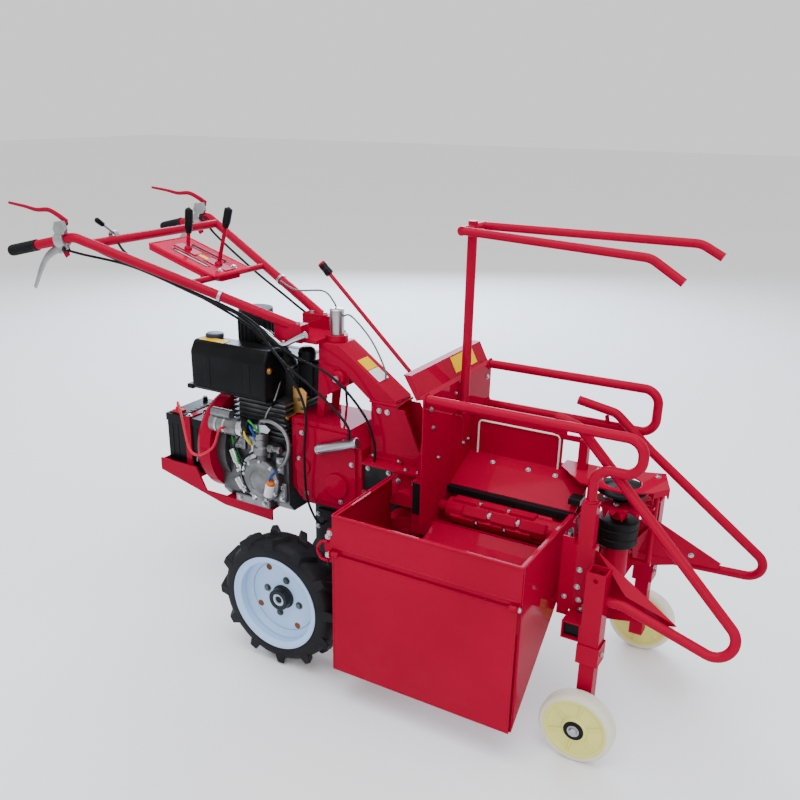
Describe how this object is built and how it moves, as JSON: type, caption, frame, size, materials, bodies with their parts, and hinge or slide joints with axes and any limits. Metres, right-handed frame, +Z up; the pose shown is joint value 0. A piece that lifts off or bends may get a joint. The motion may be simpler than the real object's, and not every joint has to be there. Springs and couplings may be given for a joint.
{
  "type": "corn harvester",
  "caption": "Walk-behind corn harvester: diesel two-wheel tractor with handlebars, snapping-roll picker head, stalk guides, ear bin with drop door and front support wheels.",
  "frame": {"origin": "on the ground, under the middle of the machine's box", "axes": "+X forward, +Y to the operator's left, +Z up"},
  "size_m": [2.3286, 0.831, 1.318],
  "materials": {
    "red_paint": "gloss",
    "black_paint": "satin",
    "tyre_rubber": "matte",
    "rim_paint": "gloss",
    "nylon": "satin",
    "black_plastic": "satin",
    "rubber": "matte",
    "engine_alloy": "satin",
    "zinc": "satin",
    "chrome": "polished"
  },
  "bodies": {
    "chassis": {"gearbox": "red_paint", "axle_housing": "black_paint", "tie_bar": "zinc", "engine_block": "engine_alloy", "fan_shroud": "red_paint", "fuel_tank": "black_plastic", "air_cleaner": "black_plastic", "muffler": "black_paint", "starter_motor": "chrome", "battery": "black_plastic", "battery_strap": "red_paint", "engine_frame": "red_paint", "arm": "red_paint", "lock_housing": "zinc", "head_post": "red_paint", "head_case": "red_paint", "hood": "red_paint", "head_frame": "red_paint", "left_deck": "red_paint", "rubber_strip": "rubber", "bin": "red_paint", "right_column": "red_paint", "cross_beam": "red_paint", "leg_right": "red_paint", "leg_left": "red_paint", "beaks": "red_paint", "divider_right": "red_paint", "divider_left": "red_paint", "loop_right": "red_paint", "loop_left": "red_paint", "mast": "red_paint", "feed_bearing": "red_paint", "feed_cover": "red_paint", "chain_cover": "red_paint", "chute": "red_paint", "clutch_rod": "red_paint", "control_cables": "rubber", "battery_lead": "rubber"},
    "handlebars": {"handlebar_frame": "red_paint", "grips": "rubber", "hand_levers": "red_paint", "lever_clamps": "zinc", "control_panel": "red_paint", "gear_levers": "black_plastic"},
    "drive_wheel_right": {"tyre_right": "tyre_rubber", "rim_right": "rim_paint"},
    "drive_wheel_left": {"tyre_left": "tyre_rubber", "rim_left": "rim_paint"},
    "front_wheel_right": {"front_wheel_right": "nylon"},
    "front_wheel_left": {"front_wheel_left": "nylon"},
    "snapping_roll_right": {"roll_right": "red_paint"},
    "snapping_roll_left": {"roll_left": "red_paint"},
    "feed_wheel": {"feed_drum": "rubber", "star_wheel": "red_paint"},
    "bin_door": {"bin_door": "red_paint"}
  },
  "joints": [
    {"name": "handlebar_swivel", "type": "hinge", "parent": "chassis", "child": "handlebars", "pos_m": [-0.12138, 0.0265, 0.931], "axis": [0, 0, 1], "range_deg": [-30, 30], "deforming": ["control_cables"]},
    {"name": "drive_right_spin", "type": "hinge", "parent": "chassis", "child": "drive_wheel_right", "pos_m": [-0.09838, -0.3055, 0.213], "axis": [0, 1, 0], "continuous": true},
    {"name": "drive_left_spin", "type": "hinge", "parent": "chassis", "child": "drive_wheel_left", "pos_m": [-0.09838, 0.3585, 0.213], "axis": [0, 1, 0], "continuous": true},
    {"name": "front_right_spin", "type": "hinge", "parent": "chassis", "child": "front_wheel_right", "pos_m": [0.81962, -0.2775, 0.1], "axis": [0, 1, 0], "continuous": true},
    {"name": "front_left_spin", "type": "hinge", "parent": "chassis", "child": "front_wheel_left", "pos_m": [0.81962, 0.3305, 0.1], "axis": [0, 1, 0], "continuous": true},
    {"name": "roll_right_spin", "type": "hinge", "parent": "chassis", "child": "snapping_roll_right", "pos_m": [0.47662, -0.0655, 0.52], "axis": [1, 0, 0], "continuous": true},
    {"name": "roll_left_spin", "type": "hinge", "parent": "chassis", "child": "snapping_roll_left", "pos_m": [0.47662, 0.0285, 0.52], "axis": [1, 0, 0], "continuous": true},
    {"name": "feed_wheel_spin", "type": "hinge", "parent": "chassis", "child": "feed_wheel", "pos_m": [0.77462, 0.0725, 0.52], "axis": [0, 0, 1], "continuous": true},
    {"name": "bin_door_hinge", "type": "hinge", "parent": "chassis", "child": "bin_door", "pos_m": [0.41112, -0.4065, 0.47], "axis": [-1, 0, 0], "range_deg": [0, 95]}
  ],
  "couplings": [
    {"joint": "roll_left_spin", "follows": "roll_right_spin", "ratio": -1}
  ]
}
